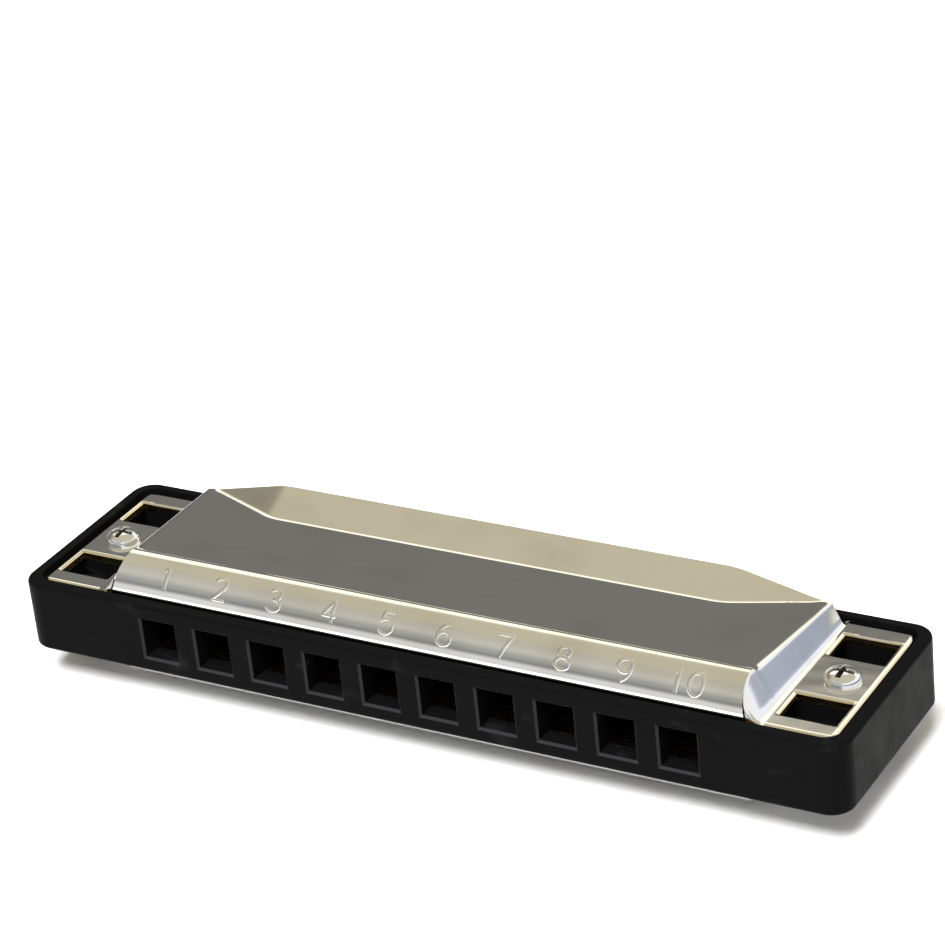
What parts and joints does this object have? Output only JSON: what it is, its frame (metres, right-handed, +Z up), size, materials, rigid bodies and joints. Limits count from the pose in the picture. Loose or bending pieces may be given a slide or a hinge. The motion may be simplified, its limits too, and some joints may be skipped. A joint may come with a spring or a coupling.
{
  "type": "ten-hole diatonic harmonica",
  "caption": "Slim mouth organ: black comb with a row of square mouth holes, recessed brass reed plates and pressed chrome covers that flare open at the back.",
  "frame": {"origin": "on the surface the instrument lies on, under the middle of the comb", "axes": "+X along the row of holes from hole 1 (low) to hole 10 (high), mouth face towards -Y, +Z up out of the numbered cover"},
  "size_m": [0.1064, 0.027, 0.0184],
  "materials": {
    "comb_plastic": "satin moulded black",
    "plate_brass": "sheared brass sheet, satin",
    "cover_chrome": "bright plated pressed sheet",
    "screw_steel": "bright plated steel",
    "plate_screw_steel": "plain steel",
    "reed_bronze": "milled strip with fine grinding marks",
    "rivet_brass": "peened brass"
  },
  "bodies": {
    "root": {"comb": "comb_plastic", "blow_reed_plate": "plate_brass", "draw_reed_plate": "plate_brass", "top_cover": "cover_chrome", "bottom_cover": "cover_chrome", "left_cover_screw": "screw_steel", "right_cover_screw": "screw_steel", "left_cover_nut": "screw_steel", "right_cover_nut": "screw_steel", "blow_plate_screws": "plate_screw_steel", "draw_plate_screws": "plate_screw_steel", "blow_reed_pads": "reed_bronze", "draw_reed_pads": "reed_bronze", "blow_reed_rivets": "rivet_brass", "draw_reed_rivets": "rivet_brass"},
    "blow_reed_01": {"blow_reed_01": "reed_bronze"},
    "draw_reed_01": {"draw_reed_01": "reed_bronze"},
    "blow_reed_02": {"blow_reed_02": "reed_bronze"},
    "draw_reed_02": {"draw_reed_02": "reed_bronze"},
    "blow_reed_03": {"blow_reed_03": "reed_bronze"},
    "draw_reed_03": {"draw_reed_03": "reed_bronze"},
    "blow_reed_04": {"blow_reed_04": "reed_bronze"},
    "draw_reed_04": {"draw_reed_04": "reed_bronze"},
    "blow_reed_05": {"blow_reed_05": "reed_bronze"},
    "draw_reed_05": {"draw_reed_05": "reed_bronze"},
    "blow_reed_06": {"blow_reed_06": "reed_bronze"},
    "draw_reed_06": {"draw_reed_06": "reed_bronze"},
    "blow_reed_07": {"blow_reed_07": "reed_bronze"},
    "draw_reed_07": {"draw_reed_07": "reed_bronze"},
    "blow_reed_08": {"blow_reed_08": "reed_bronze"},
    "draw_reed_08": {"draw_reed_08": "reed_bronze"},
    "blow_reed_09": {"blow_reed_09": "reed_bronze"},
    "draw_reed_09": {"draw_reed_09": "reed_bronze"},
    "blow_reed_10": {"blow_reed_10": "reed_bronze"},
    "draw_reed_10": {"draw_reed_10": "reed_bronze"}
  },
  "joints": [
    {"name": "blow_reed_01_swing", "type": "hinge", "parent": "root", "child": "blow_reed_01", "pos_m": [-0.03375, 0.007, 0.01173], "axis": [1, 0, 0], "range_deg": [-4, 4], "stiffness_Nm_per_rad": 0.0009408},
    {"name": "draw_reed_01_swing", "type": "hinge", "parent": "root", "child": "draw_reed_01", "pos_m": [-0.03375, -0.0069, 0.00543], "axis": [1, 0, 0], "range_deg": [-4, 4], "stiffness_Nm_per_rad": 0.0009408},
    {"name": "blow_reed_02_swing", "type": "hinge", "parent": "root", "child": "blow_reed_02", "pos_m": [-0.02625, 0.00627, 0.01173], "axis": [1, 0, 0], "range_deg": [-4, 4], "stiffness_Nm_per_rad": 0.0008209},
    {"name": "draw_reed_02_swing", "type": "hinge", "parent": "root", "child": "draw_reed_02", "pos_m": [-0.02625, -0.0069, 0.00543], "axis": [1, 0, 0], "range_deg": [-4, 4], "stiffness_Nm_per_rad": 0.0008209},
    {"name": "blow_reed_03_swing", "type": "hinge", "parent": "root", "child": "blow_reed_03", "pos_m": [-0.01875, 0.00553, 0.01173], "axis": [1, 0, 0], "range_deg": [-4, 4], "stiffness_Nm_per_rad": 0.0007116},
    {"name": "draw_reed_03_swing", "type": "hinge", "parent": "root", "child": "draw_reed_03", "pos_m": [-0.01875, -0.0069, 0.00543], "axis": [1, 0, 0], "range_deg": [-4, 4], "stiffness_Nm_per_rad": 0.0007116},
    {"name": "blow_reed_04_swing", "type": "hinge", "parent": "root", "child": "blow_reed_04", "pos_m": [-0.01125, 0.0048, 0.01173], "axis": [1, 0, 0], "range_deg": [-4, 4], "stiffness_Nm_per_rad": 0.0006124},
    {"name": "draw_reed_04_swing", "type": "hinge", "parent": "root", "child": "draw_reed_04", "pos_m": [-0.01125, -0.0069, 0.00543], "axis": [1, 0, 0], "range_deg": [-4, 4], "stiffness_Nm_per_rad": 0.0006124},
    {"name": "blow_reed_05_swing", "type": "hinge", "parent": "root", "child": "blow_reed_05", "pos_m": [-0.00375, 0.00407, 0.01173], "axis": [1, 0, 0], "range_deg": [-4, 4], "stiffness_Nm_per_rad": 0.000523},
    {"name": "draw_reed_05_swing", "type": "hinge", "parent": "root", "child": "draw_reed_05", "pos_m": [-0.00375, -0.0069, 0.00543], "axis": [1, 0, 0], "range_deg": [-4, 4], "stiffness_Nm_per_rad": 0.000523},
    {"name": "blow_reed_06_swing", "type": "hinge", "parent": "root", "child": "blow_reed_06", "pos_m": [0.00375, 0.00333, 0.01173], "axis": [1, 0, 0], "range_deg": [-4, 4], "stiffness_Nm_per_rad": 0.0004427},
    {"name": "draw_reed_06_swing", "type": "hinge", "parent": "root", "child": "draw_reed_06", "pos_m": [0.00375, -0.0069, 0.00543], "axis": [1, 0, 0], "range_deg": [-4, 4], "stiffness_Nm_per_rad": 0.0004427},
    {"name": "blow_reed_07_swing", "type": "hinge", "parent": "root", "child": "blow_reed_07", "pos_m": [0.01125, 0.0026, 0.01173], "axis": [1, 0, 0], "range_deg": [-4, 4], "stiffness_Nm_per_rad": 0.000371},
    {"name": "draw_reed_07_swing", "type": "hinge", "parent": "root", "child": "draw_reed_07", "pos_m": [0.01125, -0.0069, 0.00543], "axis": [1, 0, 0], "range_deg": [-4, 4], "stiffness_Nm_per_rad": 0.000371},
    {"name": "blow_reed_08_swing", "type": "hinge", "parent": "root", "child": "blow_reed_08", "pos_m": [0.01875, 0.00187, 0.01173], "axis": [1, 0, 0], "range_deg": [-4, 4], "stiffness_Nm_per_rad": 0.0003076},
    {"name": "draw_reed_08_swing", "type": "hinge", "parent": "root", "child": "draw_reed_08", "pos_m": [0.01875, -0.0069, 0.00543], "axis": [1, 0, 0], "range_deg": [-4, 4], "stiffness_Nm_per_rad": 0.0003076},
    {"name": "blow_reed_09_swing", "type": "hinge", "parent": "root", "child": "blow_reed_09", "pos_m": [0.02625, 0.00113, 0.01173], "axis": [1, 0, 0], "range_deg": [-4, 4], "stiffness_Nm_per_rad": 0.0002518},
    {"name": "draw_reed_09_swing", "type": "hinge", "parent": "root", "child": "draw_reed_09", "pos_m": [0.02625, -0.0069, 0.00543], "axis": [1, 0, 0], "range_deg": [-4, 4], "stiffness_Nm_per_rad": 0.0002518},
    {"name": "blow_reed_10_swing", "type": "hinge", "parent": "root", "child": "blow_reed_10", "pos_m": [0.03375, 0.0004, 0.01173], "axis": [1, 0, 0], "range_deg": [-4, 4], "stiffness_Nm_per_rad": 0.0002032},
    {"name": "draw_reed_10_swing", "type": "hinge", "parent": "root", "child": "draw_reed_10", "pos_m": [0.03375, -0.0069, 0.00543], "axis": [1, 0, 0], "range_deg": [-4, 4], "stiffness_Nm_per_rad": 0.0002032}
  ]
}
